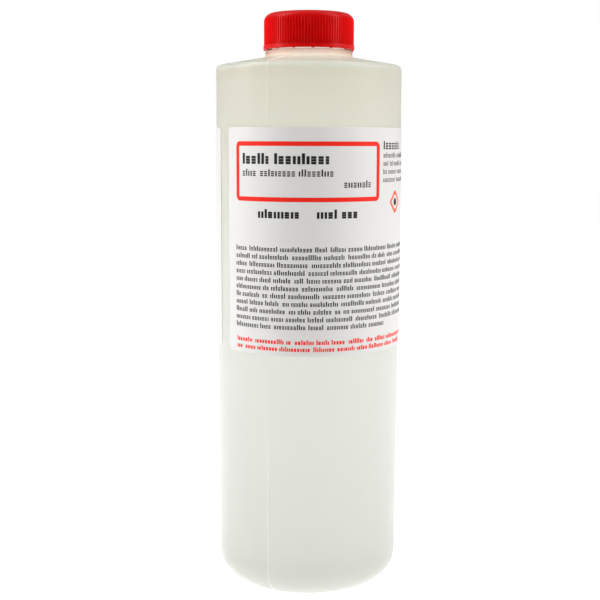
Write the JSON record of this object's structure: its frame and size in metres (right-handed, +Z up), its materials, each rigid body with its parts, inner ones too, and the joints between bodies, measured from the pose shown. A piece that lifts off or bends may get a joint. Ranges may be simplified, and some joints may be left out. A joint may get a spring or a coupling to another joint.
{
  "type": "reagent bottle",
  "caption": "Tall cylindrical translucent plastic bottle with a low shoulder, short screw neck, ribbed screw cap, foam liner and a wrap label.",
  "frame": {"origin": "centre of the base, in the plane of the standing ring", "axes": "+Z up along the bottle's axis, towards the cap; the middle of the label's front faces -Y; +X is to the reader's right"},
  "size_m": [0.0634, 0.0634, 0.1954],
  "materials": {
    "natural_polyethylene": "translucent natural blow-moulded polyethylene, satin",
    "red_polypropylene": "moulded red polypropylene, satin gloss",
    "foam_liner": "white polyethylene foam, matte",
    "label_film": "white coated label, semi-matte"
  },
  "bodies": {
    "bottle": {"bottle": "natural_polyethylene", "label": "label_film"},
    "liner": {"cap_liner": "foam_liner"},
    "cap": {"cap": "red_polypropylene"}
  },
  "joints": [
    {"name": "cap_lift", "type": "slide", "parent": "bottle", "child": "liner", "axis": [0, 0, 1], "range_m": [0, 0.0128]},
    {"name": "cap_turn", "type": "hinge", "parent": "liner", "child": "cap", "pos_m": [0, 0, 0.1894], "axis": [0, 0, 1], "range_deg": [0, 1080]}
  ],
  "couplings": [
    {"joint": "cap_lift", "follows": "cap_turn", "m_per_rad": 0.0006737}
  ]
}
